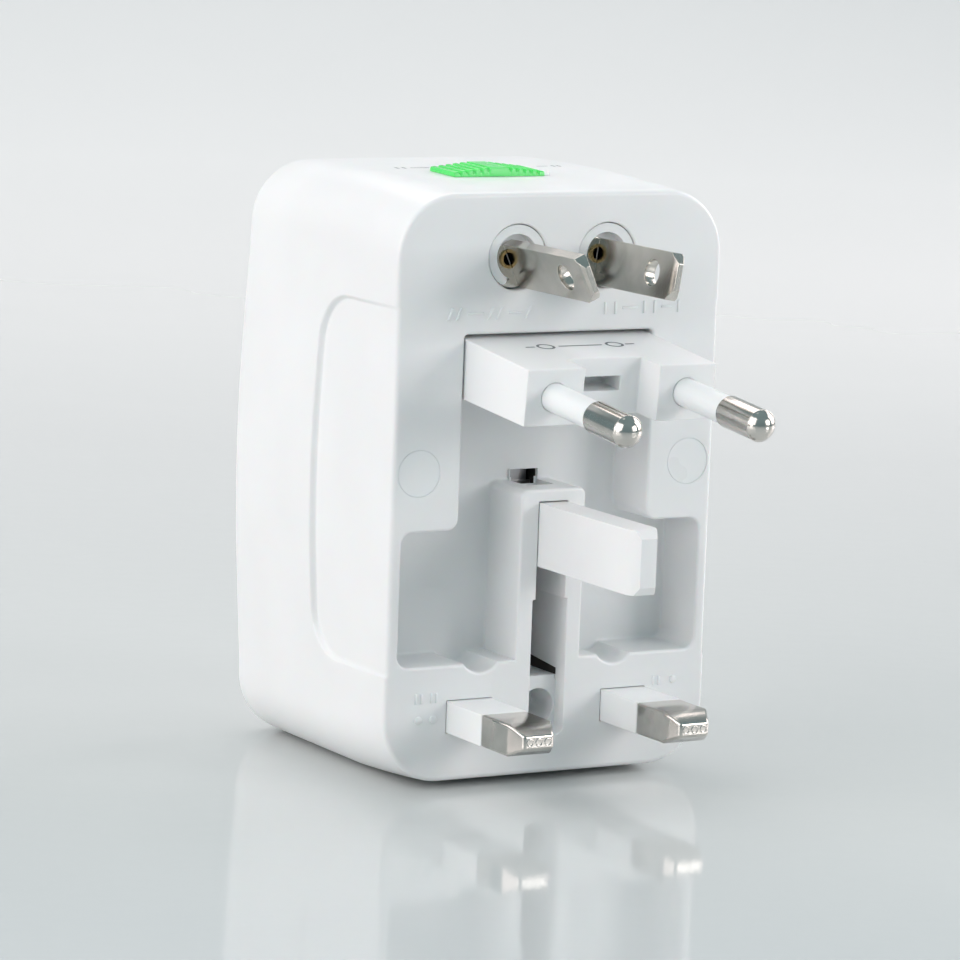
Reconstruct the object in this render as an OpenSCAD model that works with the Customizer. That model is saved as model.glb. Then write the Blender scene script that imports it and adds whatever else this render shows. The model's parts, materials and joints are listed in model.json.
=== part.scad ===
// Universal travel adapter, upright, pins towards -Y, socket towards +Y.
// Origin: centre of the flat it stands on. Depths are measured back from the pin face.

/* [Body] */
// Greatest width, across the crowned sides
body_w = 49.4; // [49:0.1:50]
// Greatest height, from the standing flat to the crowned top
body_h = 75; // [74.8:0.1:75.4]
// Depth from the pin face to the socket face
body_d = 42; // [41.8:0.1:43]
// Width of the flat pin face
face_w = 46.2; // [46:0.1:46.4]
// Height of the flat pin face
face_h = 72.9; // [72.7:0.1:73]
// Corner radius of the pin face
corner_r = 8; // [7.5:0.1:8.4]
// Thickness of the top, bottom and face walls
wall = 2; // [1.9:0.05:2]
// Thickness of the socket cover
cover_t = 3.5; // [3.4:0.05:3.6]

/* [Plug pins] */
// Height of the live and neutral blade centres above the standing flat
pin_z = 9.1; // [9:0.05:9.2]
// Centre distance of the rectangular live and neutral pins
pin_pitch = 22.2; // [22.1:0.05:22.3]
// How far the rectangular pins stand out of the face
pin_out = 17.2; // [17.2:0.05:17.8]
// Height of the earth pin above the live and neutral line
earth_rise = 22.2; // [22.15:0.05:22.25]
// How far the earth pin stands out of the face
earth_out = 22.7; // [22.4:0.05:22.8]
// Centre distance of the two flat blades
blade_pitch = 12.8; // [12.7:0.05:12.9]
// How far the flat blades stand out of the face
blade_out = 16.9; // [16.4:0.1:17.2]
// Turn of the left flat blade away from upright, as it stands
left_turn = 24; // [0:1:30]
// Turn of the right flat blade away from upright, as it stands
right_turn = 9; // [0:1:30]
// Centre distance of the round pins
round_pitch = 18.6; // [18.4:0.05:18.8]
// How far the round pins stand out of their block
round_out = 18.4; // [18:0.1:19]
// Sag of the open round-pin block below square
block_sag = 6; // [0:1:6]

/* [Selector] */
// Place of the selector knob along its slot, from the middle
knob_x = -2.4; // [-2.4:0.1:2.4]

/* [Hidden] */
$fn = 96;
fine = 720;      // segments for the large crown arcs
gap = 0.15;      // clearance between sliding parts
eps = 0.01;

// Crowns of the body
crown_d = 26;                              // depth at which the body is fullest
side_crown = (body_w - face_w) / 2;
top_crown = (body_h - face_h) / 2;
flat_dip = 0.25;                           // bottom crown cut away by the standing flat
plan_r = (pow(crown_d, 2) + pow(side_crown, 2)) / (2 * side_crown);
top_r = (pow(crown_d, 2) + pow(top_crown, 2)) / (2 * top_crown);
base_drop = top_crown + flat_dip;
base_r = (pow(crown_d, 2) + pow(base_drop, 2)) / (2 * base_drop);
bulge_h = face_h / 2 - corner_r;
front_r = (pow(bulge_h, 2) + pow(side_crown, 2)) / (2 * side_crown);
mid_z = body_h / 2;
seam_d = body_d - cover_t;                 // depth of the seam between housing and cover
rear_r = cover_t;                          // rounding of the cover's edge
rear_half = body_w / 2 - pow(seam_d - crown_d, 2) / (2 * plan_r);
rear_top = body_h - pow(seam_d - crown_d, 2) / (2 * top_r);
rear_low = pow(seam_d - crown_d, 2) / (2 * base_r) - flat_dip;

// Cavity
cavity_w = 42.4;
cavity_r = 6;

// Side grips: flat insets open to the face
grip_half = face_w / 2 - 0.15;
grip_d = 18.4;
grip_z0 = pin_z + 5.6;
grip_z1 = pin_z + 51;
grip_r = 6;

// Recess for the round-pin block and its pins
recess_d = 8;
recess_half = 13.5;
recess_z1 = pin_z + 47.5;
pocket_half = 21.4;
pocket_z0 = pin_z + 6.5;
pocket_z1 = pin_z + 23.3;
pocket_r = 1.5;
island_half = 4.62;
island_z1 = pin_z + 27.9;
scallop_x = 9.6;
scallop_r = 3;
floor_t = 1.5;

// Rectangular pins and their carriage
pin_w = 6.35;
pin_t = 4;
sleeve_out = 8.6;
bridge_d0 = 2.2;
bridge_d1 = 9.4;
bridge_half_h = 3.9;
bridge_half_w = 15.2;
core_w = 5;
core_t = 2.6;

// Earth pin
earth_z = pin_z + earth_rise;
earth_w = 4;
earth_h = 8;
earth_pivot_d = 3;
earth_pivot_z = earth_z + earth_h / 2 - earth_pivot_d;
earth_tail = 3;
earth_shaft_r = 0.9;
slot_half = 2.1;
slot_low_half = 2.5;
slot_step_z = pin_z + 14;
slot_z0 = pin_z - 3.3;
slot_z1 = earth_z + earth_h / 2 + gap;

// Flat blades, their discs and carriage
blade_z = pin_z + 56.9;
disc_r = 4;
disc_d0 = 0.3;
disc_d1 = 6.3;
blade_w = 5.8;
blade_t = 1.5;
blade_drop = 0.95;                         // blade centre below the disc centre
blade_hole_out = 11.9;
blade_hole_r = 1.65;
foot_d = 1.3;
foot_t = 0.34;
rim_r = 2.85;                              // inside of the disc's rim
rim_end_z = -1.8;                          // where the rim ends on both sides of the foot
eyelet_r = 1.2;
eyelet_bore = 0.82;
blade_root_d = 5.2;
tang_z0 = -2.5;                            // the tang is narrower than the blade
tang_z1 = 1.8;
neck_r = 2;
plate_d0 = disc_d1 + 0.1;
plate_d1 = 9.6;
carriage_half = 15;
rail_half_h = 1.1;

// Round-pin block
block_d = 4;
block_z = pin_z + 43.6;
block_half_w = 13.3;
block_half_t = 3.8;
block_tip_t = 3.5;
block_len = 18.9;
notch_half = 5.3;
notch_a = 14.3;
hinge_r = 1.2;
round_r = 2;
round_sleeve_r = 1.78;
round_sleeve = 10;
round_root = 6;

// Selector
knob_d = 15.4;
knob_half_w = 6.5;
knob_half_d = 3.15;
knob_rise = 1.2;                           // height of the knob's crest
knob_end_rise = 0.6;
knob_crest_half = 1.3;
knob_travel = 4.8;
knob_neck = 1.6;
knob_top = body_h - pow(knob_d - crown_d, 2) / (2 * top_r);
knob_tilt = asin((crown_d - knob_d) / top_r);
lock_z0 = body_h - 4.5;

// Screws
screw_x = 19.3;
screw_z = pin_z + 30.6;
screw_cover_r = 2.9;
screw_r = 1;

// Socket
socket_z = 27;
contact_x = 9.6;
contact_gap = 2.35;
opening_half_h = 3.8;
earth_hole_rise = 22.2;
shutter_travel = 9;
shutter_d = seam_d - 1.9;
shutter_half_w = 15.4;
shutter_z0 = socket_z - 4.6;
shutter_z1 = socket_z + opening_half_h + shutter_travel;
spring_seat_z = 9.2;
carrier_screw_x = 18.6;
carrier_screw_z = 20.5;
carrier_d0 = 28.3;
carrier_d1 = 36.2;
lens_z = 63;

// Colours
white = [0.93, 0.94, 0.95];
green = [0.16, 0.82, 0.3];
nickel = [0.72, 0.69, 0.64];
brass = [0.72, 0.56, 0.3];
steel = [0.6, 0.61, 0.63];

// Y of a depth behind the pin face
function fy(d) = d - body_d / 2;

// Half-height of the block at a distance from its hinge
function block_half(a) = block_half_t - (block_half_t - block_tip_t) * a / block_len;

// Box between two corners, with depths in place of Y
module bar(x0, x1, d0, d1, z0, z1) {
    translate([x0, fy(d0), z0]) cube([x1 - x0, d1 - d0, z1 - z0]);
}

// Extrudes an (x, z) outline between two depths
module sunk(d0, d1) {
    translate([0, fy(d1), 0]) rotate([90, 0, 0]) linear_extrude(d1 - d0) children();
}

// Extrudes a (y, z) outline between two x
module across(x0, x1) {
    translate([x0, 0, 0]) rotate([90, 0, 90]) linear_extrude(x1 - x0) children();
}

// Round bar along the depth
module rod(x, z, r, d0, d1) {
    translate([x, fy(d1), z]) rotate([90, 0, 0]) cylinder(h = d1 - d0, r = r);
}

// Round bar along X
module axle(d, z, r, x0, x1) {
    translate([x0, fy(d), z]) rotate([0, 90, 0]) cylinder(h = x1 - x0, r = r);
}

module both_sides() {
    children();
    mirror([1, 0, 0]) children();
}

// Rectangle with round corners, centred
module round_rect(w, h, r) {
    square([w - 2 * r, h], center = true);
    square([w, h - 2 * r], center = true);
    for (sx = [-1, 1], sz = [-1, 1])
        translate([sx * (w / 2 - r), sz * (h / 2 - r)]) circle(r);
}

// Box outline given by its corners
module box_2d(x0, x1, z0, z1) {
    translate([x0, z0]) square([x1 - x0, z1 - z0]);
}

// Material left in a corner by a round of radius r; sx, sz point into the material
module corner_2d(x, z, r, sx, sz) {
    difference() {
        translate([x - (sx < 0 ? r : 0), z - (sz < 0 ? r : 0)]) square(r);
        translate([x + sx * r, z + sz * r]) circle(r);
    }
}

// Outline of the body seen from the front
module front_outline() {
    translate([0, mid_z]) {
        round_rect(face_w, body_h, corner_r);
        intersection() {
            translate([body_w / 2 - front_r, 0]) circle(front_r, $fn = fine);
            translate([front_r - body_w / 2, 0]) circle(front_r, $fn = fine);
            square([body_w, 2 * bulge_h], center = true);
        }
    }
}

// Outline of the body seen from above
module plan_outline() {
    intersection() {
        translate([body_w / 2 - plan_r, fy(crown_d)]) circle(plan_r, $fn = fine);
        translate([plan_r - body_w / 2, fy(crown_d)]) circle(plan_r, $fn = fine);
        union() {
            translate([-body_w / 2, fy(0)]) square([body_w, seam_d]);
            translate([rear_r - rear_half, fy(0)]) square([2 * (rear_half - rear_r), body_d]);
            for (s = [-1, 1])
                translate([s * (rear_half - rear_r), fy(seam_d)]) circle(rear_r);
        }
    }
}

// Outline of the body seen from the side, as (y, z)
module side_outline() {
    intersection() {
        translate([fy(crown_d), body_h - top_r]) circle(top_r, $fn = fine);
        translate([fy(crown_d), base_r - flat_dip]) circle(base_r, $fn = fine);
        union() {
            translate([fy(0), 0]) square([seam_d, body_h]);
            translate([fy(seam_d) - eps, rear_low + rear_r])
                square([cover_t + eps, rear_top - rear_low - 2 * rear_r]);
            translate([fy(seam_d), rear_low + rear_r]) circle(rear_r);
            translate([fy(seam_d), rear_top - rear_r]) circle(rear_r);
        }
    }
}

module body_solid() {
    intersection() {
        sunk(0, body_d) front_outline();
        linear_extrude(body_h) plan_outline();
        across(-body_w / 2, body_w / 2) side_outline();
    }
}

module cavity_outline(inset) {
    translate([0, mid_z])
        round_rect(cavity_w - 2 * inset, face_h - 2 * wall - 2 * inset, cavity_r - inset);
}

// Face opening of the recess and pin pockets
module recess_outline() {
    difference() {
        union() {
            box_2d(-recess_half, recess_half, pocket_z1 - 1, recess_z1);
            translate([0, (pocket_z0 + pocket_z1) / 2])
                round_rect(2 * pocket_half, pocket_z1 - pocket_z0, pocket_r);
            for (s = [-1, 1]) {
                translate([s * scallop_x, pocket_z0 + 1.8]) circle(scallop_r);
                corner_2d(s * recess_half, pocket_z1, pocket_r, s, 1);
            }
        }
        box_2d(-island_half, island_half, 0, island_z1 - 1);
        box_2d(1 - island_half, island_half - 1, 0, island_z1);
        for (s = [-1, 1])
            translate([s * (island_half - 1), island_z1 - 1]) circle(1);
    }
}

// Outside of the tray behind the recess
module tray_outline() {
    box_2d(-recess_half - 2, recess_half + 2, pocket_z0, recess_z1 + floor_t);
    box_2d(-cavity_w / 2, cavity_w / 2, pocket_z0 - 0.9, pocket_z1 + floor_t);
    for (s = [-1, 1])
        translate([s * scallop_x, pocket_z0 + 1.8]) circle(scallop_r + 0.8);
}

module earth_slot() {
    sunk(-1, recess_d + 6) box_2d(-slot_half, slot_half, slot_step_z - eps, slot_z1);
    sunk(-1, recess_d + 6) box_2d(-slot_low_half, slot_low_half, slot_z0 + 1, slot_step_z);
    sunk(-1, recess_d + 6) box_2d(1 - slot_low_half, slot_low_half - 1, slot_z0, slot_z0 + 2);
    for (s = [-1, 1])
        rod(s * (slot_low_half - 1), slot_z0 + 1, 1, -1, recess_d + 6);
}

module grip_cut() {
    bar(grip_half, body_w, -1, grip_d - grip_r, grip_z0, grip_z1);
    bar(grip_half, body_w, -1, grip_d, grip_z0 + grip_r, grip_z1 - grip_r);
    for (z = [grip_z0 + grip_r, grip_z1 - grip_r])
        axle(grip_d - grip_r, z, grip_r, grip_half, body_w);
}

module plug_side_housing() {
    color(white) difference() {
        union() {
            difference() {
                intersection() {
                    body_solid();
                    bar(-body_w, body_w, 0, seam_d, -1, body_h + 1);
                }
                sunk(wall, body_d) cavity_outline(0);
            }
            sunk(wall - eps, recess_d + floor_t) tray_outline();
            sunk(wall - eps, recess_d + floor_t) box_2d(-4.2, 4.2, pin_z + 4.6, pocket_z0);
            for (s = [-1, 1]) {
                rod(s * blade_pitch / 2, blade_z, disc_r + 1.2, wall - eps, 4.4);
                rod(s * screw_x, screw_z, 3, wall - eps, 6);
            }
            both_sides() {
                // rails of the blade carriage and of the pin carriage
                bar(carriage_half - 0.8, cavity_w / 2 + eps, wall, 33, blade_z - 1, blade_z + 1);
                bar(bridge_half_w + 0.2, bridge_half_w + 2, wall, 33, wall, pin_z + 3.6);
            }
        }
        sunk(-1, recess_d) recess_outline();
        earth_slot();
        both_sides() {
            grip_cut();
            bar(pin_pitch / 2 - pin_w / 2 - gap, pin_pitch / 2 + pin_w / 2 + gap,
                -1, wall + 1, pin_z - pin_t / 2 - gap, pin_z + pin_t / 2 + gap);
            rod(blade_pitch / 2, blade_z, disc_r + 0.1, -1, 5);
            rod(screw_x, screw_z, screw_cover_r + 0.1, -1, 1);
            rod(screw_x, screw_z, 2.2, -1, 3.4);
            rod(screw_x, screw_z, screw_r + 0.2, -1, 7);
        }
        axle(earth_pivot_d, earth_pivot_z, earth_shaft_r + 0.04, -4, 4);
        axle(block_d, block_z, hinge_r + 0.04, -recess_half - 1.6, recess_half + 1.6);
        // window and groove on the island for the fold latch
        bar(-2, 2, 3.5, recess_d + floor_t + 1, island_z1 - 0.9, island_z1 + 1.4);
        // slot of the selector's neck
        bar(-knob_neck - knob_travel / 2 - gap, knob_neck + knob_travel / 2 + gap,
            knob_d - 1.9, knob_d + 1.9, lock_z0, body_h + 1);
    }
}

// Openings of the universal socket for one pole
module pole_openings() {
    translate([contact_x - 0.1, socket_z]) circle(2.6);
    translate([11.1, socket_z]) square([7.4, 4.8], center = true);
    translate([6.4, socket_z]) square([2.2, 7.4], center = true);
    translate([6.9, socket_z]) rotate(30) square([2.2, 7.6], center = true);
}

module socket_side_cover() {
    color(white) difference() {
        union() {
            intersection() {
                body_solid();
                bar(-body_w, body_w, seam_d + 0.05, body_d + 1, -1, body_h + 1);
            }
            difference() {
                sunk(seam_d - 2.4, seam_d + 1) cavity_outline(0.12);
                sunk(seam_d - 3, seam_d + 2) cavity_outline(1.3);
            }
            both_sides() {
                rod(screw_x, screw_z, 1.8, 7, seam_d + 1);
                rod(carrier_screw_x, carrier_screw_z, 1.7, carrier_d0 + 1.45, seam_d + 1);
                // guide rib of the shutter
                bar(shutter_half_w + 0.2, shutter_half_w + 1, shutter_d - 0.3, seam_d + 1,
                    spring_seat_z, shutter_z1 + 1.5);
            }
            bar(-2, 2, shutter_d - 0.3, seam_d + 1, spring_seat_z - 1.2, spring_seat_z);
        }
        both_sides() {
            sunk(seam_d - 0.5, body_d + 1) pole_openings();
            rod(screw_x, screw_z, screw_r + 0.03, 6, 22);
            rod(carrier_screw_x, carrier_screw_z, screw_r + 0.03, carrier_d0, 35.5);
        }
        sunk(seam_d - 1, body_d + 1)
            translate([0, socket_z + earth_hole_rise]) square([4.6, 8.6], center = true);
        sunk(body_d - 0.8, body_d + 1)
            translate([0, socket_z + 10]) round_rect(36, 46, 5);
        rod(0, lens_z, 1.55, seam_d - 1, body_d + 1);
    }
}

module screw_covers() {
    color(white) both_sides() rod(screw_x, screw_z, screw_cover_r, 0.05, 0.95);
}

module case_screws() {
    color(steel) both_sides() difference() {
        union() {
            rod(screw_x, screw_z, 1.95, 1.6, 3.35);
            rod(screw_x, screw_z, screw_r, 3.3, 21);
        }
        bar(screw_x - 1.4, screw_x + 1.4, 1.5, 2.2, screw_z - 0.25, screw_z + 0.25);
        bar(screw_x - 0.25, screw_x + 0.25, 1.5, 2.2, screw_z - 1.4, screw_z + 1.4);
    }
}

// Crowned knob with five ribs on each side of a smooth crest
module selector_knob() {
    rib_pitch = 1.02;
    rib_r = 0.3;
    fall = (knob_rise - knob_end_rise) / (knob_half_w - knob_crest_half);
    color(green) {
        translate([knob_x, fy(knob_d), knob_top]) rotate([knob_tilt, 0, 0]) rotate([90, 0, 0]) {
            linear_extrude(2 * knob_half_d, center = true) polygon([
                [-knob_half_w, 0.03], [knob_half_w, 0.03], [knob_half_w, knob_end_rise - rib_r],
                [knob_crest_half, knob_rise - rib_r], [knob_crest_half, knob_rise],
                [-knob_crest_half, knob_rise], [-knob_crest_half, knob_rise - rib_r],
                [-knob_half_w, knob_end_rise - rib_r]
            ]);
            for (side = [-1, 1], i = [0:4]) {
                x = knob_crest_half + 0.72 + i * rib_pitch;
                translate([side * x, knob_rise - rib_r - fall * (x - knob_crest_half), 0])
                    cylinder(h = 2 * knob_half_d, r = rib_r, center = true, $fn = 24);
            }
        }
        bar(knob_x - knob_neck, knob_x + knob_neck, knob_d - 1.75, knob_d + 1.75,
            lock_z0 + 1.9, knob_top + 0.2);
    }
}

module selector_lock_plate() {
    color(white) {
        bar(knob_x - 9.5, knob_x + 9.5, knob_d - 4.2, knob_d + 4.2, lock_z0, lock_z0 + 1.4);
        bar(knob_x - 1.5, knob_x + 1.5, knob_d - 1.6, knob_d + 1.6,
            lock_z0 + 1.35, lock_z0 + 1.9);
    }
}

module selector_spring() {
    spring_d = knob_d + 4.3;
    color(steel) {
        bar(-7, 7, spring_d, spring_d + 0.4, lock_z0 - 0.2, lock_z0 + 1.4);
        for (s = [-1, 1])
            bar(s * 7 - 0.6, s * 7 + 0.6, spring_d, spring_d + 1.4, lock_z0 - 0.2, lock_z0 + 1.4);
    }
}

module blade_carriage() {
    color(white) difference() {
        bar(-carriage_half, carriage_half, plate_d0, plate_d1, blade_z - 5.2, blade_z + 3.9);
        both_sides() {
            rod(blade_pitch / 2, blade_z, neck_r + 0.05, 5, 11);
            bar(carriage_half - 1, carriage_half + 1, 5, 11, blade_z - rail_half_h,
                blade_z + rail_half_h);
        }
    }
}

// Disc with a C-shaped rim around the blade's foot
module blade_disc() {
    floor_d = foot_d + foot_t + eps;
    rim_mid = (rim_r + disc_r) / 2;
    rim_half = (disc_r - rim_r) / 2 - 0.02;
    color(white) difference() {
        union() {
            difference() {
                rod(0, 0, disc_r, disc_d0, disc_d1);
                rod(0, 0, rim_r, -1, floor_d);
                bar(-disc_r, disc_r, -1, floor_d, -disc_r - 1, rim_end_z);
            }
            for (s = [-1, 1])
                rod(s * sqrt(pow(rim_mid, 2) - pow(rim_end_z, 2)), rim_end_z, rim_half,
                    disc_d0, floor_d + eps);
            rod(0, 0, neck_r, disc_d1 - eps, plate_d1 + 0.1);
            rod(0, 0, neck_r + 0.6, plate_d1 + 0.1, plate_d1 + 1.1);
        }
        bar(-blade_t / 2 - 0.03, blade_t / 2 + 0.03, -1, blade_root_d + 0.03,
            tang_z0 - 0.03, tang_z1 + 0.03);
        half_round(eyelet_bore + 0.26, -1, disc_d1 - 1.6);
    }
}

// Round bar centred on the blade's near side and cut off there
module half_round(r, d0, d1) {
    intersection() {
        rod(-blade_t / 2, 0, r, d0, d1);
        bar(-5, -blade_t / 2 - 0.05, d0, d1, -5, 5);
    }
}

// Blade with a foot bent across the disc and a tang into it
module flat_blade() {
    corner = 1.2;
    bevel = 0.8;
    bevel_t = 0.4;
    z0 = -blade_w / 2 - blade_drop;
    z1 = blade_w / 2 - blade_drop;
    color(nickel) difference() {
        union() {
            intersection() {
                across(-blade_t / 2, blade_t / 2) polygon([
                    [fy(foot_d + foot_t), z0], [fy(foot_d + foot_t), z1],
                    [fy(corner - blade_out), z1], [fy(-blade_out), z1 - corner],
                    [fy(-blade_out), z0 + corner], [fy(corner - blade_out), z0]
                ]);
                linear_extrude(2 * blade_w, center = true) polygon([
                    [-blade_t / 2, fy(disc_d1)], [blade_t / 2, fy(disc_d1)],
                    [blade_t / 2, fy(bevel - blade_out)], [blade_t / 2 - bevel_t, fy(-blade_out)],
                    [bevel_t - blade_t / 2, fy(-blade_out)], [-blade_t / 2, fy(bevel - blade_out)]
                ]);
            }
            bar(-blade_t / 2, blade_t / 2, foot_d, blade_root_d, tang_z0, tang_z1);
            intersection() {
                rod(0, 0, rim_r - 0.05, foot_d, foot_d + foot_t);
                bar(-rim_r, 0, 0, 5, -blade_w / 2, z1);
            }
            intersection() {
                rod(0, 0, disc_r - 0.15, foot_d, foot_d + foot_t);
                bar(-disc_r, 0, 0, 5, -disc_r, rim_end_z - 0.6);
            }
        }
        axle(-blade_hole_out, -blade_drop, blade_hole_r, -4, 4);
        half_round(eyelet_bore + 0.24, 0, 4);
    }
}

module eyelet() {
    color(brass) difference() {
        union() {
            half_round(eyelet_r, foot_d - 0.25, foot_d);
            half_round(eyelet_bore + 0.22, foot_d - 0.01, disc_d1 - 1.7);
        }
        rod(-blade_t / 2, 0, eyelet_bore, 0, disc_d1);
    }
}

// Places a part on its blade disc's axis, turned as the blades stand
module on_disc(side) {
    translate([side * blade_pitch / 2, 0, blade_z])
        rotate([0, side < 0 ? -left_turn : right_turn, 0]) children();
}

module left_blade_disc() on_disc(-1) blade_disc();
module right_blade_disc() on_disc(1) blade_disc();
module left_blade() on_disc(-1) flat_blade();
module right_blade() on_disc(1) flat_blade();
module left_rivet() on_disc(-1) eyelet();
module right_rivet() on_disc(1) eyelet();

module blade_wipers() {
    color(brass) both_sides() {
        bar(blade_pitch / 2 + 2.7, 12.4, plate_d1 + 0.05, plate_d1 + 0.35,
            blade_z - 1.5, blade_z + 1.5);
        bar(12, 12.4, plate_d1 + 0.05, plate_d1 + 1.05, blade_z - 1.5, blade_z + 1.5);
    }
}

module pin_carriage() {
    color(white) difference() {
        union() {
            bar(-bridge_half_w, bridge_half_w, bridge_d0, bridge_d1,
                pin_z - bridge_half_h, pin_z + bridge_half_h - 0.5);
            bar(-slot_low_half + 0.1, slot_low_half - 0.1, bridge_d0, bridge_d1,
                pin_z, pin_z + bridge_half_h);
            both_sides()
                bar(pin_pitch / 2 - pin_w / 2, pin_pitch / 2 + pin_w / 2, -sleeve_out,
                    bridge_d0 + eps, pin_z - pin_t / 2, pin_z + pin_t / 2);
        }
        rod(0, pin_z, 2.25, 0, 7.5);
        both_sides()
            bar(pin_pitch / 2 - core_w / 2 - 0.02, pin_pitch / 2 + core_w / 2 + 0.02,
                -sleeve_out - 1, bridge_d1 + 1, pin_z - core_t / 2 - 0.02,
                pin_z + core_t / 2 + 0.02);
    }
}

module rectangular_pin() {
    chamfer = 2.4;
    slope = 1.15;
    color(nickel) translate([pin_pitch / 2, 0, pin_z]) {
        intersection() {
            bar(-pin_w / 2, pin_w / 2, -pin_out, -sleeve_out - eps, -pin_t / 2, pin_t / 2);
            across(-pin_w, pin_w) polygon([
                [fy(0), -pin_t / 2], [fy(0), pin_t / 2],
                [fy(chamfer - pin_out), pin_t / 2], [fy(-pin_out), pin_t / 2 - slope],
                [fy(-pin_out), slope - pin_t / 2], [fy(chamfer - pin_out), -pin_t / 2]
            ]);
            linear_extrude(2 * pin_t, center = true) polygon([
                [-pin_w / 2, fy(0)], [pin_w / 2, fy(0)],
                [pin_w / 2, fy(chamfer - pin_out)], [pin_w / 2 - slope, fy(-pin_out)],
                [slope - pin_w / 2, fy(-pin_out)], [-pin_w / 2, fy(chamfer - pin_out)]
            ]);
        }
        bar(-core_w / 2, core_w / 2, -sleeve_out - 1, bridge_d1 + 0.6, -core_t / 2, core_t / 2);
    }
}

module live_pin() rectangular_pin();
module neutral_pin() mirror([1, 0, 0]) rectangular_pin();

module pin_wipers() {
    color(brass) both_sides() {
        bar(pin_pitch / 2 - 1.5, 14.6, bridge_d1 + 0.6, bridge_d1 + 0.9,
            pin_z - 1.2, pin_z + 1.2);
        bar(14.3, 14.6, bridge_d1 + 0.1, bridge_d1 + 0.65, pin_z - 1.2, pin_z + 1.2);
    }
}

module earth_pin() {
    top_z = earth_z + earth_h / 2;
    low_z = earth_z - earth_h / 2;
    tip = 1.9;
    color(white) difference() {
        intersection() {
            across(-earth_w / 2, earth_w / 2) union() {
                polygon([
                    [fy(earth_pivot_d), low_z], [fy(earth_pivot_d), top_z],
                    [fy(0.8 - earth_out), top_z], [fy(-earth_out), top_z - 1],
                    [fy(-earth_out), low_z + 1], [fy(0.8 - earth_out), low_z]
                ]);
                translate([fy(earth_pivot_d), low_z])
                    square([earth_tail, earth_pivot_z - low_z]);
                translate([fy(earth_pivot_d), earth_pivot_z]) circle(earth_tail);
            }
            linear_extrude(body_h) polygon([
                [-earth_w / 2, fy(recess_d)], [earth_w / 2, fy(recess_d)],
                [earth_w / 2, fy(tip - earth_out)], [earth_w / 2 - 0.9, fy(-earth_out)],
                [0.9 - earth_w / 2, fy(-earth_out)], [-earth_w / 2, fy(tip - earth_out)]
            ]);
        }
        axle(earth_pivot_d, earth_pivot_z, earth_shaft_r + 0.05, -4, 4);
    }
}

module earth_pin_shaft() {
    color(steel) axle(earth_pivot_d, earth_pivot_z, earth_shaft_r, -3.95, 3.95);
}

module earth_pin_spring() {
    color(steel) {
        bar(-3.4, 3.4, recess_d + floor_t + 0.02, recess_d + floor_t + 0.32,
            slot_z1 - 4, slot_z1 + 1.2);
        bar(-1.4, 1.4, recess_d + floor_t + 0.02, recess_d + floor_t + 0.32,
            slot_z1 - 9, slot_z1 - 3.9);
    }
}

// Places a part drawn with its hinge at the origin, pointing to -Y, on the block's hinge
module on_hinge() {
    translate([0, fy(block_d), block_z]) rotate([block_sag, 0, 0]) children();
}

module round_pin_block() {
    color(white) on_hinge() difference() {
        translate([-block_half_w, 0, 0]) rotate([90, 0, 90]) linear_extrude(2 * block_half_w) {
            circle(block_half_t);
            polygon([
                [0, -block_half_t], [0, block_half_t],
                [-block_len, block_tip_t], [-block_len, -block_tip_t]
            ]);
        }
        translate([-notch_half, -block_len - 1, -5])
            cube([2 * notch_half, block_len + 1 - notch_a, 10]);
        translate([-2.6, -notch_a - 1, -0.6]) cube([5.2, 5, 1.8]);
        rotate([0, 90, 0]) cylinder(h = 30, r = hinge_r + 0.05, center = true);
        for (s = [-1, 1])
            translate([s * round_pitch / 2, -round_root, 0]) rotate([90, 0, 0]) {
                cylinder(h = 20, r = 1.45);
                translate([0, 0, block_len - round_root - 4]) cylinder(h = 10, r = round_sleeve_r + 0.02);
            }
    }
}

module block_hinge_pin() {
    color(steel) axle(block_d, block_z, hinge_r, -recess_half - 1.5, recess_half + 1.5);
}

// Metal core and tip of a round pin
module round_pin(side) {
    tip_len = round_out - round_sleeve;
    color(nickel) on_hinge() translate([side * round_pitch / 2, 0, 0]) rotate([90, 0, 0]) {
        translate([0, 0, round_root + 0.05])
            cylinder(h = block_len + round_sleeve - round_root, r = 1.4);
        translate([0, 0, block_len + round_sleeve]) {
            cylinder(h = tip_len - 1.4, r = round_r);
            intersection() {
                translate([0, 0, tip_len - 2.05]) sphere(2.05);
                translate([0, 0, tip_len - 1.5]) cylinder(h = 2, r = round_r);
            }
        }
    }
}

module round_pin_live() round_pin(1);
module round_pin_neutral() round_pin(-1);

module round_pin_sleeves() {
    color(white) on_hinge() for (s = [-1, 1])
        translate([s * round_pitch / 2, 0, 0]) rotate([90, 0, 0]) difference() {
            translate([0, 0, block_len - 3.9]) cylinder(h = round_sleeve + 3.88, r = round_sleeve_r);
            cylinder(h = 60, r = 1.42);
        }
}

module fold_latch_spring() {
    color(steel) {
        bar(-4.5, 4.5, recess_d + floor_t + 0.02, recess_d + floor_t + 0.32,
            island_z1 + 1.5, island_z1 + 6);
        bar(-1.6, 1.6, recess_d + floor_t + 0.32, recess_d + floor_t + 0.62,
            island_z1 - 0.4, island_z1 + 3);
    }
}

module contact_carrier() {
    color(white) difference() {
        union() {
            bar(-20, 20, carrier_d0, carrier_d0 + 1.4, socket_z - 9, socket_z + 8);
            both_sides() {
                bar(15.6, 16.6, carrier_d0, carrier_d1, socket_z - 6, socket_z + 6);
                bar(3, 4.2, carrier_d0, carrier_d1, socket_z - 6, socket_z + 6);
            }
        }
        both_sides() {
            rod(carrier_screw_x, carrier_screw_z, screw_r + 0.05, carrier_d0 - 1, carrier_d0 + 2);
            bar(10.5, 15, carrier_d0 - 1, carrier_d0 + 2, socket_z - 0.6, socket_z + 0.6);
        }
    }
}

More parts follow.
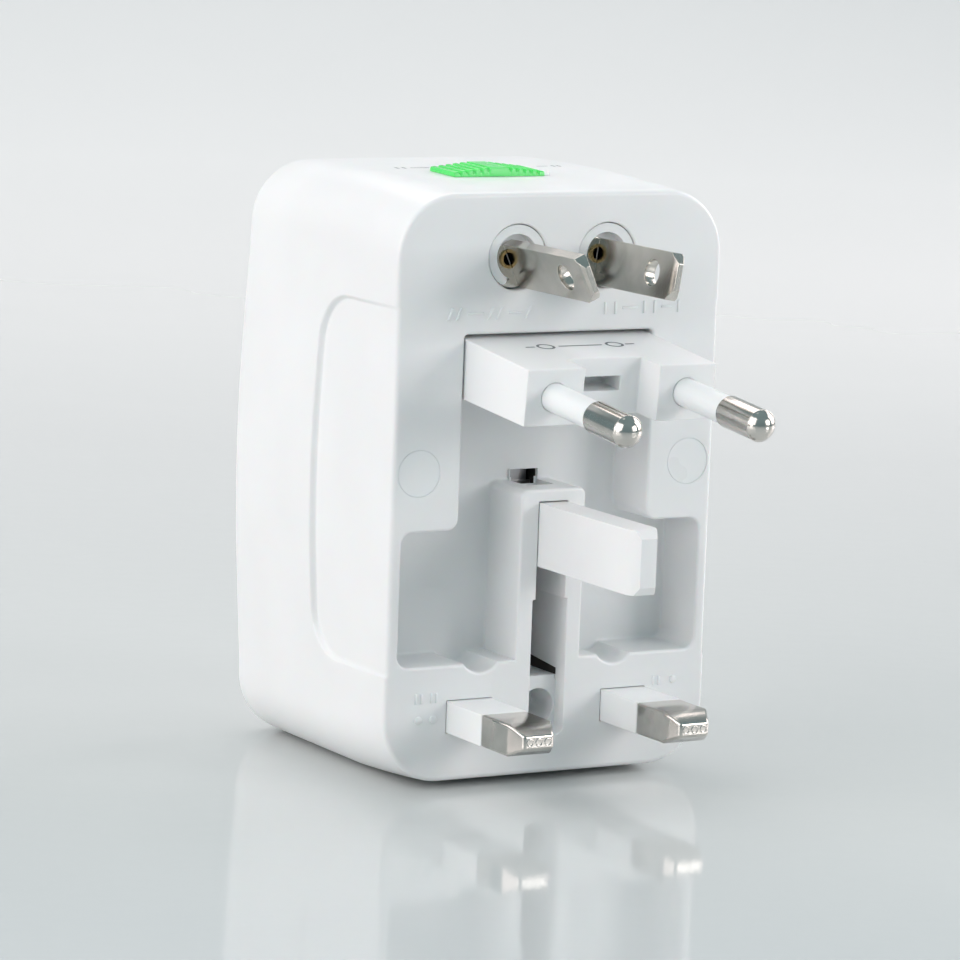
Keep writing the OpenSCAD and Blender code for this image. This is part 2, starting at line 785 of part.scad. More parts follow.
// Two spring leaves joined by a back, with a tail through the carrier
module pole_contact() {
    leaf_d0 = carrier_d0 + 1.6;
    color(brass) {
        for (s = [-1, 1]) {
            z = socket_z + s * (contact_gap + 0.2);
            bar(5, 15.4, leaf_d0, carrier_d1 - 0.4, z - 0.2, z + 0.2);
        }
        bar(5, 15.4, leaf_d0 - 0.1, leaf_d0 + 0.3, socket_z - contact_gap - 0.4,
            socket_z + contact_gap + 0.4);
        bar(11, 14.5, carrier_d0 - 0.7, leaf_d0, socket_z - 0.3, socket_z + 0.3);
    }
}

module live_contact() pole_contact();
module neutral_contact() mirror([1, 0, 0]) pole_contact();

// Strip that joins the socket contact to both pin groups
module bus_bar() {
    bar_d1 = carrier_d0 - 0.75;
    bar_d0 = bar_d1 - 0.45;
    low_z = pin_z + 5;
    top_z = blade_z - 6.1;
    color(brass) {
        bar(11, 16.4, bar_d0, bar_d1, socket_z - 1.5, socket_z + 1.5);
        bar(15.2, 16.4, bar_d0, bar_d1, low_z, top_z);
        bar(15.2, 16.4, 12, bar_d1, low_z, low_z + 0.5);
        bar(15.2, 16.4, 12, bar_d1, top_z - 0.5, top_z);
    }
}

module live_bus_bar() bus_bar();
module neutral_bus_bar() mirror([1, 0, 0]) bus_bar();

module carrier_screws() {
    color(steel) both_sides() {
        rod(carrier_screw_x, carrier_screw_z, screw_r, carrier_d0 - 0.5, 35);
        rod(carrier_screw_x, carrier_screw_z, 1.9, carrier_d0 - 1.5, carrier_d0 - 0.05);
    }
}

// Plate that covers the openings, with windows that come level when it drops
module safety_shutter() {
    stem_z1 = socket_z + earth_hole_rise + 4.6;
    window_z0 = socket_z + shutter_travel - opening_half_h;
    color(white) difference() {
        union() {
            bar(-shutter_half_w, shutter_half_w, shutter_d, shutter_d + 1.1,
                shutter_z0, shutter_z1 + 1.5);
            bar(-3, 3, shutter_d, shutter_d + 1.1, shutter_z1 + 1.4, stem_z1);
        }
        both_sides()
            bar(4.4, 14.2, shutter_d - 1, shutter_d + 2, window_z0, shutter_z1);
    }
}

module shutter_spring() {
    wire = 0.25;
    coil_r = 1.1;
    coils = 8;
    z0 = spring_seat_z + wire + eps;
    z1 = shutter_z0 - wire - eps;
    color(steel) for (i = [0:coils - 1])
        translate([0, fy(shutter_d + 0.5), z0 + i * (z1 - z0) / (coils - 1)])
            rotate_extrude() translate([coil_r, 0]) circle(wire, $fn = 16);
}

module indicator_lens() {
    color([0.9, 0.35, 0.2]) rod(0, lens_z, 1.5, seam_d - 0.8, body_d - 0.3);
}

module indicator_lamp() {
    color([0.85, 0.8, 0.7]) {
        rod(0, lens_z, 1.3, seam_d - 7, seam_d - 1.6);
        for (s = [-1, 1])
            rod(s * 0.6, lens_z, 0.2, seam_d - 10, seam_d - 6.9);
    }
}

plug_side_housing();
socket_side_cover();
screw_covers();
case_screws();
selector_knob();
selector_lock_plate();
selector_spring();
blade_carriage();
left_blade_disc();
right_blade_disc();
left_blade();
right_blade();
left_rivet();
right_rivet();
blade_wipers();
pin_carriage();
live_pin();
neutral_pin();
pin_wipers();
earth_pin();
earth_pin_shaft();
earth_pin_spring();
round_pin_block();
block_hinge_pin();
round_pin_live();
round_pin_neutral();
round_pin_sleeves();
fold_latch_spring();
contact_carrier();
live_contact();
neutral_contact();
live_bus_bar();
neutral_bus_bar();
carrier_screws();
safety_shutter();
shutter_spring();
indicator_lens();
indicator_lamp();
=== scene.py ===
"""Looks of the universal travel adapter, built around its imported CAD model.

Lengths are millimetres, as (x, depth behind the pin face, z) in the CAD model's own frame.
"""

import json
import math

import bmesh
import bpy
from mathutils import Matrix, Vector
from mathutils.geometry import delaunay_2d_cdt


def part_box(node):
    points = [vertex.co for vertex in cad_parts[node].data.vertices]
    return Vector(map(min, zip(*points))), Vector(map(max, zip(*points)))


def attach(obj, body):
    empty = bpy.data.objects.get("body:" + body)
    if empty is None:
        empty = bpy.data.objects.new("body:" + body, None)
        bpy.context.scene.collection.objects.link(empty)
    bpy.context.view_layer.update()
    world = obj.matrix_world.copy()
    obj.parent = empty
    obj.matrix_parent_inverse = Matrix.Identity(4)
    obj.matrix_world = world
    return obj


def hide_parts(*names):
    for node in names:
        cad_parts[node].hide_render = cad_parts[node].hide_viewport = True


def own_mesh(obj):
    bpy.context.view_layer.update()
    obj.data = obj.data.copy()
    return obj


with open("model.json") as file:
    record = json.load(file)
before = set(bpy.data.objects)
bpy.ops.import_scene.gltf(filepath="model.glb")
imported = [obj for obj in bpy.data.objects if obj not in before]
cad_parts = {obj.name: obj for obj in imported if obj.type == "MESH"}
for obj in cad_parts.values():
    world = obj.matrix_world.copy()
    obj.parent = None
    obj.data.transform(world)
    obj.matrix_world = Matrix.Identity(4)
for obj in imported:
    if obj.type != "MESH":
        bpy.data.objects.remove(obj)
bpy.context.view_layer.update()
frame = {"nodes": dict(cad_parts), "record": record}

MM = 0.001
BODY_D = 42.0            # depth from the pin face to the socket face
SEAM_D = 38.5            # depth of the seam between housing and cover
SEAM_LIP, SEAM_SINK = 0.08, 0.3  # how far the seam's edge and its bottom are set in
CROWN_D = 26.0           # depth at which the body is fullest
FACE_HALF = 23.1         # half-width of the flat pin face
SIDE_FULL = 24.7         # half-width at the fullest depth
TOP_Z = 75.0
CORNER_R = 8.0
EDGE_R = 0.6             # rounding between the pin face and the sides
REAR_R = 3.5             # rounding of the cover's edge
FLAT_DIP = 0.25          # how far the bottom's crown is cut away by the standing flat
PIN_Z = 9.1
PIN_X = 11.1
BLADE_X, BLADE_Z = 6.4, 66.0
SCREW_X, SCREW_Z = 19.3, 39.7
SOCKET_Z = 27.0
RECESS_D = 8.0
KNOB_X, KNOB_D = -2.4, 15.4
SOFTENED_ABOVE = 32      # angle in degrees past which an edge of a CAD piece is rounded


def crown_radius(drop):
    """Radius of an arc that falls by drop over the crown's depth."""
    return (CROWN_D ** 2 + drop ** 2) / (2 * drop)


PLAN_R = crown_radius(1.6)
TOP_R = crown_radius(1.05)
BASE_R = crown_radius(1.3)


def crown(d, radius):
    return (d - CROWN_D) ** 2 / (2 * radius)


def top_z(d):
    return TOP_Z - crown(d, TOP_R)


def low_z(d):
    return max(0.0, crown(d, BASE_R) - FLAT_DIP)


# ---------------------------------------------------------------- outlines

def arc(x, z, r, start, end, step=8):
    """Points on an arc, angles in degrees."""
    count = max(2, math.ceil(abs(end - start) / step))
    angles = [math.radians(start + (end - start) * i / count) for i in range(count + 1)]
    return [(x + r * math.cos(a), z + r * math.sin(a)) for a in angles]


def rounded(corners):
    """Outline through corners (x, z, radius)."""
    loop = []
    for i, (x, z, r) in enumerate(corners):
        if r <= 0:
            loop.append((x, z))
            continue
        here = Vector((x, z))
        back = (Vector(corners[i - 1][:2]) - here).normalized()
        ahead = (Vector(corners[(i + 1) % len(corners)][:2]) - here).normalized()
        half = back.angle(ahead) / 2
        centre = here + (back + ahead).normalized() * r / math.sin(half)
        first = here + back * r / math.tan(half) - centre
        last = here + ahead * r / math.tan(half) - centre
        start = math.degrees(math.atan2(first.y, first.x))
        turn = (math.degrees(math.atan2(last.y, last.x)) - start + 180) % 360 - 180
        loop += arc(centre.x, centre.y, r, start, start + turn, 10)
    return loop


def round_box(x, z, w, h, r):
    return rounded([(x - w / 2, z - h / 2, r), (x + w / 2, z - h / 2, r),
                    (x + w / 2, z + h / 2, r), (x - w / 2, z + h / 2, r)])


def circle(x, z, r, step=6):
    return arc(x, z, r, 0, 360, step)[:-1]


def grown(loop, t):
    """Counter-clockwise outline moved outwards by t."""
    out = []
    for i, p in enumerate(loop):
        before = Vector(p) - Vector(loop[i - 1])
        after = Vector(loop[(i + 1) % len(loop)]) - Vector(p)
        n = Vector((before.y, -before.x)).normalized() + Vector((after.y, -after.x)).normalized()
        n.normalize()
        stretch = n.dot(Vector((after.y, -after.x)).normalized())
        out.append((p[0] + n.x * t / stretch, p[1] + n.y * t / stretch))
    return out


def inside(p, loop):
    hit = False
    for i, (x1, z1) in enumerate(loop):
        x0, z0 = loop[i - 1]
        if (z0 > p[1]) != (z1 > p[1]) and p[0] < (x1 - x0) * (p[1] - z0) / (z1 - z0) + x0:
            hit = not hit
    return hit


# ---------------------------------------------------------------- meshes

class Skin:
    """Collects rings, walls and flat plates of one piece."""

    def __init__(self):
        self.verts, self.faces = [], []

    def ring(self, points):
        first = len(self.verts)
        self.verts += points
        return list(range(first, len(self.verts)))

    def bridge(self, a, b, closed=True):
        for i in range(len(a) if closed else len(a) - 1):
            j = (i + 1) % len(a)
            self.faces.append((a[i], a[j], b[j], b[i]))

    def walls(self, loop, steps):
        """Walls along loop. Each step is (outward growth, depth)."""
        rings = [self.ring([(x, d, z) for x, z in grown(loop, t)]) for t, d in steps]
        for a, b in zip(rings, rings[1:]):
            self.bridge(a, b)

    def plate(self, loops, d, keep=None):
        """Flat face at a depth, inside an odd number of loops or where keep says."""
        points, edges = [], []
        for loop in loops:
            first = len(points)
            points += [Vector(p) for p in loop]
            edges += [(first + i, first + (i + 1) % len(loop)) for i in range(len(loop))]
        found, _, tris, _, _, _ = delaunay_2d_cdt(points, edges, [], 0, 1e-5)
        first = len(self.verts)
        self.verts += [(v.x, d, v.y) for v in found]
        kept = []
        for tri in tris:
            c = sum((found[i] for i in tri), Vector((0, 0))) / len(tri)
            odd = sum(inside(c, loop) for loop in loops) % 2 == 1
            if keep(c) if keep else odd:
                kept.append(tuple(first + i for i in tri))
        self.faces += kept
        return kept

    def mesh(self, name, sharp=38, weld=2e-6):
        data = bpy.data.meshes.new(name)
        data.from_pydata([(x * MM, (d - BODY_D / 2) * MM, z * MM) for x, d, z in self.verts],
                         [], self.faces)
        bm = bmesh.new()
        bm.from_mesh(data)
        bmesh.ops.remove_doubles(bm, verts=bm.verts, dist=weld)
        bmesh.ops.dissolve_degenerate(bm, edges=bm.edges, dist=weld / 4)
        bmesh.ops.recalc_face_normals(bm, faces=bm.faces)
        shade(bm, sharp)
        bm.to_mesh(data)
        bm.free()
        return data


def shade(bm, sharp):
    """Smooth shading, apart from edges sharper than an angle in degrees."""
    for f in bm.faces:
        f.smooth = True
    for e in bm.edges:
        e.smooth = len(e.link_faces) == 2 and e.calc_face_angle(0) < math.radians(sharp)


def piece(name, data, material, body, nodes=(), weighted=True):
    """Adds a mesh as a named piece that rides on a body and stands for CAD nodes."""
    ob = bpy.data.objects.new(name, data)
    bpy.context.scene.collection.objects.link(ob)
    data.materials.clear()
    data.materials.append(material)
    if weighted:
        mod = ob.modifiers.new("flat faces stay flat", "WEIGHTED_NORMAL")
        mod.keep_sharp = True
    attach(ob, body)
    if nodes:
        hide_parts(*nodes)
    return ob


def softened(node, width):
    """Copy of a CAD node's mesh with its edges rounded."""
    src = frame["nodes"][node]
    data = bpy.data.meshes.new(node + "_skin")
    bm = bmesh.new()
    bm.from_mesh(src.data)
    bm.transform(src.matrix_world)
    bmesh.ops.remove_doubles(bm, verts=bm.verts, dist=2e-6)
    bmesh.ops.dissolve_limit(bm, angle_limit=math.radians(1), verts=bm.verts, edges=bm.edges)
    edges = [e for e in bm.edges if len(e.link_faces) == 2
             and e.calc_face_angle(0) > math.radians(SOFTENED_ABOVE)]
    bmesh.ops.bevel(bm, geom=edges, offset=width * MM, segments=3, profile=0.5,
                    affect="EDGES", clamp_overlap=True, offset_type="OFFSET")
    shade(bm, 40)
    bm.to_mesh(data)
    bm.free()
    return data


# ---------------------------------------------------------------- materials

class Nodes:
    """Short forms for building a node tree."""

    def __init__(self, material):
        material.use_nodes = True
        self.tree = material.node_tree
        self.tree.nodes.clear()

    def add(self, kind, inputs=None, **settings):
        node = self.tree.nodes.new("ShaderNode" + kind)
        for key, value in settings.items():
            setattr(node, key, value)
        for key, value in (inputs or {}).items():
            if isinstance(value, bpy.types.NodeSocket):
                self.tree.links.new(value, node.inputs[key])
            else:
                node.inputs[key].default_value = value
        return node

    def ramp(self, source, low, high, low_value, high_value):
        return self.add("MapRange", {"Value": source, "From Min": low, "From Max": high,
                                     "To Min": low_value, "To Max": high_value}).outputs[0]

    def noise(self, vector, scale, detail=3.0, rough=0.5):
        return self.add("TexNoise", {"Vector": vector, "Scale": scale, "Detail": detail,
                                     "Roughness": rough}).outputs["Fac"]


def rgb(r, g, b):
    return (r, g, b, 1.0)


def plastic(name, colour, rough=0.3, soft=0.0, tint=0.03, edge=0.0, corner_shade=0.04):
    """Moulded plastic: faint blotches, fine grain, painted shade in the corners."""
    m = bpy.data.materials.new(name)
    n = Nodes(m)
    where = n.add("TexCoord").outputs["Object"]
    broad = n.noise(where, 60, 2)
    fine = n.noise(where, 2600, 3, 0.6)
    wave = n.noise(where, 190, 2, 0.4)
    shade_mix = n.add("Mix", {"Factor": n.ramp(broad, 0.35, 0.65, 0, 1),
                              "A": colour,
                              "B": rgb(*[c * (1 - tint) for c in colour[:3]])},
                      data_type="RGBA")
    # painted shade: ambient occlusion mixes the colour towards grey in corners and creases
    corner = n.add("AmbientOcclusion", {"Distance": 0.0025}, samples=4)
    shaded_corners = n.add("Mix", {"Factor": n.ramp(corner.outputs["AO"], 0.25, 0.9, corner_shade, 0.0),
                          "A": shade_mix.outputs["Result"],
                          "B": rgb(0.42, 0.41, 0.38)}, data_type="RGBA")
    height = n.add("Math", {0: n.ramp(fine, 0, 1, 0, 0.02), 1: n.ramp(wave, 0, 1, 0, 0.35)},
                   operation="ADD").outputs[0]
    edge_args = {}
    if edge:
        edge_args["Normal"] = n.add("Bevel", {"Radius": edge * MM}, samples=6).outputs["Normal"]
    bump = n.add("Bump", {"Height": height, "Strength": 0.5, "Distance": 0.00006, **edge_args})
    shader = n.add("BsdfPrincipled", {
        "Base Color": shaded_corners.outputs["Result"],
        "Roughness": n.ramp(wave, 0.3, 0.7, rough * 0.85, rough * 1.2),
        "Subsurface Weight": soft, "Subsurface Scale": 0.0012,
        "Normal": bump.outputs["Normal"]})
    n.add("OutputMaterial", {"Surface": shader.outputs[0]})
    return m


def metal(name, colour, rough=0.22, brushed=0.0, along=(1, 60, 60), scratch=0.15, edge=0.0):
    """Plated or stamped metal: fine draw lines, scratches, cloudy roughness."""
    m = bpy.data.materials.new(name)
    n = Nodes(m)
    where = n.add("TexCoord").outputs["Object"]
    stretched = n.add("Mapping", {"Vector": where, "Scale": along}).outputs[0]
    lines = n.noise(stretched, 700, 2, 0.7)
    cloud = n.noise(where, 320, 3, 0.6)
    pits = n.noise(where, 4200, 2, 0.7)
    tone = n.add("Mix", {"Factor": n.ramp(cloud, 0.35, 0.7, 0, 1), "A": colour,
                         "B": rgb(*[c * 0.86 for c in colour[:3]])}, data_type="RGBA")
    height = n.add("Math", {0: n.ramp(lines, 0, 1, 0, brushed),
                            1: n.ramp(pits, 0.5, 0.8, 0, scratch)}, operation="ADD").outputs[0]
    edge_args = {}
    if edge:
        edge_args["Normal"] = n.add("Bevel", {"Radius": edge * MM}, samples=6).outputs["Normal"]
    bump = n.add("Bump", {"Height": height, "Strength": 0.6, "Distance": 0.00003, **edge_args})
    shader = n.add("BsdfPrincipled", {
        "Base Color": tone.outputs["Result"], "Metallic": 1.0,
        "Roughness": n.ramp(cloud, 0.3, 0.7, rough * 0.75, rough * 1.3),
        "Normal": bump.outputs["Normal"]})
    n.add("OutputMaterial", {"Surface": shader.outputs[0]})
    return m


def clear(name, colour):
    """Tinted clear plastic or glass, with faint haze."""
    m = bpy.data.materials.new(name)
    n = Nodes(m)
    where = n.add("TexCoord").outputs["Object"]
    haze = n.noise(where, 900, 3)
    bump = n.add("Bump", {"Height": haze, "Strength": 0.2, "Distance": 0.00003})
    shader = n.add("BsdfPrincipled", {
        "Base Color": colour, "Roughness": n.ramp(haze, 0.3, 0.7, 0.08, 0.16),
        "Transmission Weight": 0.7, "IOR": 1.49, "Normal": bump.outputs["Normal"]})
    n.add("OutputMaterial", {"Surface": shader.outputs[0]})
    return m


WHITE = plastic("white moulded plastic", rgb(0.85, 0.858, 0.862), rough=0.33, soft=0.12)
WHITE_EDGED = plastic("white moulded plastic, small parts", rgb(0.86, 0.868, 0.872), rough=0.3,
                      soft=0.12, edge=0.15)
# the inside plastic is the same white plastic painted darker, as painted shade for parts inside
# the body, with more painted corner shade
WHITE_SHADED_INSIDE = plastic("white plastic, painted shade inside", rgb(0.74, 0.76, 0.76), rough=0.45, edge=0.1, corner_shade=0.1)
GREEN = plastic("green plastic", rgb(0.10, 0.80, 0.17), rough=0.28, soft=0.1, tint=0.06)
# near-black material for painted shade, on sheets put into shadowed openings
PAINTED_SHADE = plastic("painted shade, near black", rgb(0.035, 0.028, 0.022), rough=0.6, tint=0.3)
PRINT = plastic("grey print", rgb(0.16, 0.18, 0.19), rough=0.5, tint=0.25)
NICKEL = metal("nickel plate, turned", rgb(0.64, 0.61, 0.57), rough=0.1, brushed=0.12,
               along=(60, 3, 60), edge=0.1)
BLADE = metal("nickel plate, stamped", rgb(0.60, 0.575, 0.53), rough=0.16, brushed=0.16,
              along=(60, 4, 60), scratch=0.25, edge=0.12)
BRASS = metal("brass", rgb(0.5, 0.36, 0.17), rough=0.3, brushed=0.2, edge=0.06)
STEEL = metal("steel", rgb(0.5, 0.5, 0.51), rough=0.3, brushed=0.3, edge=0.06)
AMBER = clear("amber lens", rgb(0.9, 0.25, 0.08))
LAMP = clear("lamp glass", rgb(0.9, 0.86, 0.78))

SLOT_MATERIALS = {"white_plastic": WHITE_EDGED, "inner_plastic": WHITE_SHADED_INSIDE, "green_plastic": GREEN,
                  "nickel_plate": NICKEL, "brass": BRASS, "steel": STEEL,
                  "amber_lens": AMBER, "lamp_glass": LAMP}
for entry in frame["record"]["subparts"]:
    cad = frame["nodes"][entry["node"]]
    cad.data.materials.clear()
    cad.data.materials.append(SLOT_MATERIALS[entry["material_slot"]])

# ---------------------------------------------------------------- housing and cover

GRIP_SINK = (0.15, 0.75)  # how deep the grip is set in, at the face and at its far end
GRIP_D = 18.4
GRIP_Z = (14.7, 60.1)
GRIP_R = 6.0
GRIP_EDGE = 0.55         # width of the slope between the grip and the body's crown


def grip(d, z):
    """0 outside the grip inset, 1 on its flat."""
    mid, half = sum(GRIP_Z) / 2, (GRIP_Z[1] - GRIP_Z[0]) / 2
    u = d - (GRIP_D - GRIP_R)
    v = abs(z - mid) - (half - GRIP_R)
    far = math.hypot(max(u, 0), max(v, 0)) + min(max(u, v), 0) - GRIP_R
    w = min(1.0, max(0.0, 0.5 - far / GRIP_EDGE))
    return w * w * (3 - 2 * w)


def spread(a, b, step):
    """Even values from a to b, no further apart than step, without b."""
    count = max(1, math.ceil((b - a) / step - 1e-6))
    return [a + (b - a) * i / count for i in range(count)]


KNOB_SLOT_X = (-4.15, 4.15)
KNOB_SLOT_D = (13.5, 17.3)
KNOB_SLOT_FLOOR = TOP_Z - 2
CORNER_X = FACE_HALF - CORNER_R
SIDE_MID, SIDE_HALF = 37.5, 29.0
FINE = 0.16              # spacing of vertices around the grip's corners
CORNER_LOW, CORNER_HIGH = (13.6, 21), (53.8, 61.2)
CORNER_DEPTHS = (12, 19)
# heights along a side
SIDE_T = [(z - SIDE_MID) / SIDE_HALF for z in
          spread(SIDE_MID - SIDE_HALF, CORNER_LOW[0], 0.7) + spread(*CORNER_LOW, FINE)
          + spread(CORNER_LOW[1], CORNER_HIGH[0], 0.9) + spread(*CORNER_HIGH, FINE)
          + spread(CORNER_HIGH[1], SIDE_MID + SIDE_HALF, 0.7)]
TOP_X = (spread(-CORNER_X, KNOB_SLOT_X[0], 1) + spread(*KNOB_SLOT_X, 1)
         + spread(KNOB_SLOT_X[1], CORNER_X, 1))


def outline(d, e=0.0):
    """Outline of the body at a depth, moved inwards by e, counter-clockwise from below."""
    high, low = top_z(d), low_z(d)
    r = CORNER_R - e
    full = SIDE_FULL - crown(d, PLAN_R)
    low_c, high_c = low + CORNER_R, high - CORNER_R

    def side(t):
        z = (low_c + high_c) / 2 + t * (high_c - low_c) / 2
        x = FACE_HALF + (full - FACE_HALF) * (1 - t * t) ** 1.4
        sink = GRIP_SINK[0] + (GRIP_SINK[1] - GRIP_SINK[0]) * min(1, d / GRIP_D)
        x -= sink * grip(d, z)
        return x - e, z

    loop = [(x, low + e) for x in TOP_X]
    loop += arc(CORNER_X, low_c, r, -90, 0, 6)[:-1]
    loop += [side(t) for t in SIDE_T]
    loop += arc(CORNER_X, high_c, r, 0, 90, 6)[:-1]
    loop += [(x, high - e) for x in [CORNER_X] + TOP_X[:0:-1]]
    loop += arc(-CORNER_X, high_c, r, 90, 180, 6)[:-1]
    loop += [(-x, z) for x, z in (side(t) for t in [1.0] + SIDE_T[:0:-1])]
    loop += arc(-CORNER_X, low_c, r, 180, 270, 6)[:-1]
    return loop


def ring_at(d, e=0.0):
    return [(x, d, z) for x, z in outline(d, e)]


def quarter(r, count=5):
    """(in, along) of a quarter round, from tangent to the face to tangent to the wall."""
    return [(r * (1 - math.sin(math.radians(90 * i / count))),
             r * (1 - math.cos(math.radians(90 * i / count)))) for i in range(count + 1)]


def lip_and_wall(lip, depth):
    """Steps of an opening: rounded lip, then a straight wall."""
    return quarter(lip) + [(0.0, depth)]


ISLAND_HALF, ISLAND_Z = 4.62, 37.0
POCKET_X, POCKET_Z0, POCKET_Z1 = 21.4, 15.6, 32.4
RECESS_X, RECESS_Z = 13.5, 56.6
SCALLOP_X, SCALLOP_R, SCALLOP_SINK = 9.6, 3.0, 1.8
GROOVE_HALF, GROOVE_Z, GROOVE_D = 2.0, 36.1, 3.5
WINDOW_TOP = 38.4


def recess_loop(island_top):
    """Recess and pin pockets around the island, with a scallop beside each of its sides."""
    corner = math.degrees(math.asin(SCALLOP_SINK / SCALLOP_R))
    right, left = (arc(s * SCALLOP_X, POCKET_Z0 + SCALLOP_SINK, SCALLOP_R, corner - 180, -corner)
                   for s in (1, -1))
    outer = rounded([(0, POCKET_Z0, 0), (POCKET_X, POCKET_Z0, 1.5), (POCKET_X, POCKET_Z1, 1.5),
                     (RECESS_X, POCKET_Z1, 1.5), (RECESS_X, RECESS_Z, 0.5),
                     (-RECESS_X, RECESS_Z, 0.5), (-RECESS_X, POCKET_Z1, 1.5),
                     (-POCKET_X, POCKET_Z1, 1.5), (-POCKET_X, POCKET_Z0, 1.5)])
    island = rounded([(-ISLAND_HALF, POCKET_Z0, 0), (-ISLAND_HALF, ISLAND_Z, 1)] + island_top
                     + [(ISLAND_HALF, ISLAND_Z, 1), (ISLAND_HALF, POCKET_Z0, 0)])
    return island + right + outer[1:] + left


recess = recess_loop([])
grooved_recess = recess_loop([(-GROOVE_HALF, ISLAND_Z, 0), (-GROOVE_HALF, GROOVE_Z, 0),
                              (GROOVE_HALF, GROOVE_Z, 0), (GROOVE_HALF, ISLAND_Z, 0)])
groove = [(-GROOVE_HALF, GROOVE_Z), (GROOVE_HALF, GROOVE_Z), (GROOVE_HALF, ISLAND_Z),
          (-GROOVE_HALF, ISLAND_Z)]
SLOT_LOW_HALF, SLOT_HIGH_HALF = 2.5, 2.1
SLOT_Z0, SLOT_STEP_Z, SLOT_Z1 = 5.8, 23.1, 35.45
slot = rounded([(-SLOT_LOW_HALF, SLOT_Z0, 1), (SLOT_LOW_HALF, SLOT_Z0, 1),
                (SLOT_LOW_HALF, SLOT_STEP_Z, 0.2), (SLOT_HIGH_HALF, SLOT_STEP_Z, 0),
                (SLOT_HIGH_HALF, SLOT_Z1, 0.15), (-SLOT_HIGH_HALF, SLOT_Z1, 0.15),
                (-SLOT_HIGH_HALF, SLOT_STEP_Z, 0), (-SLOT_LOW_HALF, SLOT_STEP_Z, 0.2)])
latch_window = [(-GROOVE_HALF, GROOVE_Z), (GROOVE_HALF, GROOVE_Z), (GROOVE_HALF, WINDOW_TOP),
                (-GROOVE_HALF, WINDOW_TOP)]

housing = Skin()
shell_rings = [ring_at(d, e) for e, d in quarter(EDGE_R, 6)[:-1]]
shell_depths = (spread(EDGE_R, CORNER_DEPTHS[0], 0.6)
                + spread(CORNER_DEPTHS[0], KNOB_SLOT_D[0], FINE) + spread(*KNOB_SLOT_D, FINE)
                + spread(KNOB_SLOT_D[1], CORNER_DEPTHS[1], FINE)
                + spread(CORNER_DEPTHS[1], SEAM_D - 0.1, 0.8))
shell_rings += [ring_at(d) for d in shell_depths]
shell_rings += [ring_at(SEAM_D - 0.1), ring_at(SEAM_D - 0.02, SEAM_LIP),
                ring_at(SEAM_D, SEAM_SINK)]
rings = [housing.ring(r) for r in shell_rings]


def over_knob_slot(quad):
    corners = [housing.verts[i] for i in quad]
    x = sum(v[0] for v in corners) / 4
    d = sum(v[1] for v in corners) / 4
    return (corners[0][2] > TOP_Z / 2 and KNOB_SLOT_X[0] < x < KNOB_SLOT_X[1]
            and KNOB_SLOT_D[0] < d < KNOB_SLOT_D[1])


for a, b in zip(rings, rings[1:]):
    housing.bridge(a, b)
housing.faces = [f for f in housing.faces if not over_knob_slot(f)]

# walls of the slot for the selector's neck
slot_x = spread(*KNOB_SLOT_X, 1) + [KNOB_SLOT_X[1]]
slot_d = spread(*KNOB_SLOT_D, FINE) + [KNOB_SLOT_D[1]]
rim = ([(x, KNOB_SLOT_D[0]) for x in slot_x[:-1]] + [(KNOB_SLOT_X[1], d) for d in slot_d[:-1]]
       + [(x, KNOB_SLOT_D[1]) for x in slot_x[:0:-1]]
       + [(KNOB_SLOT_X[0], d) for d in slot_d[:0:-1]])
upper = housing.ring([(x, d, top_z(d)) for x, d in rim])
lower = housing.ring([(x, d, KNOB_SLOT_FLOOR) for x, d in rim])
housing.bridge(upper, lower)

FOOT = 0.35              # rounding around the recess floor
WINDOW_WALL, LINING_DEPTH = 0.25, 3
SLOT_DEPTH = 9.5
DISC_HOLE_R = 4.1
SCREW_HOLE_R, SCREW_STEP = 2.97, 0.08
PIN_HOLE = (6.52, 4.17)
disc_holes = [circle(s * BLADE_X, BLADE_Z, DISC_HOLE_R) for s in (-1, 1)]
screw_holes = [circle(s * SCREW_X, SCREW_Z, SCREW_HOLE_R) for s in (-1, 1)]
pin_holes = [round_box(s * PIN_X, PIN_Z, *PIN_HOLE, 0.15) for s in (-1, 1)]
# each opening as (outline, rounding of its lip, depth of its walls)
openings = [(recess, 0.4, GROOVE_D), (slot, 0.15, SLOT_DEPTH)]
openings += [(hole, 0.25, 5.0) for hole in disc_holes]
openings += [(hole, 0.03, SCREW_STEP) for hole in screw_holes]
openings += [(hole, 0.06, 2.0) for hole in pin_holes]
for loop, lip, depth in openings:
    housing.walls(loop, lip_and_wall(lip, depth))
housing.plate([outline(0, EDGE_R)] + [grown(loop, lip) for loop, lip, _ in openings], 0)
housing.walls(grooved_recess, [(0, GROOVE_D)] + [(-d, RECESS_D - e) for e, d in quarter(FOOT)])
housing.plate([groove], GROOVE_D)
floor = grown(grooved_recess, -FOOT)
housing.plate([floor, latch_window], RECESS_D,
              lambda p: inside(p, floor) and not inside(p, latch_window))
housing.walls(latch_window, [(0, RECESS_D - FOOT), (0, RECESS_D + WINDOW_WALL)])
for hole in screw_holes:
    housing.walls(hole, [(0, SCREW_STEP), (-0.3, SCREW_STEP)])
piece("housing_skin", housing.mesh("housing_skin"), WHITE, "housing", ["plug_side_housing"])

# near-black sheet behind the latch window: painted shade standing for the shadowed inside of the
# housing
window_shade = Skin()
back = grown(latch_window, 0.02)
window_shade.walls(back, [(0, RECESS_D + WINDOW_WALL + 0.02), (0, RECESS_D + LINING_DEPTH)])
window_shade.plate([back], RECESS_D + LINING_DEPTH)
piece("latch_window_painted_shade", window_shade.mesh("latch_window_painted_shade"), PAINTED_SHADE, "housing", [],
      weighted=False)

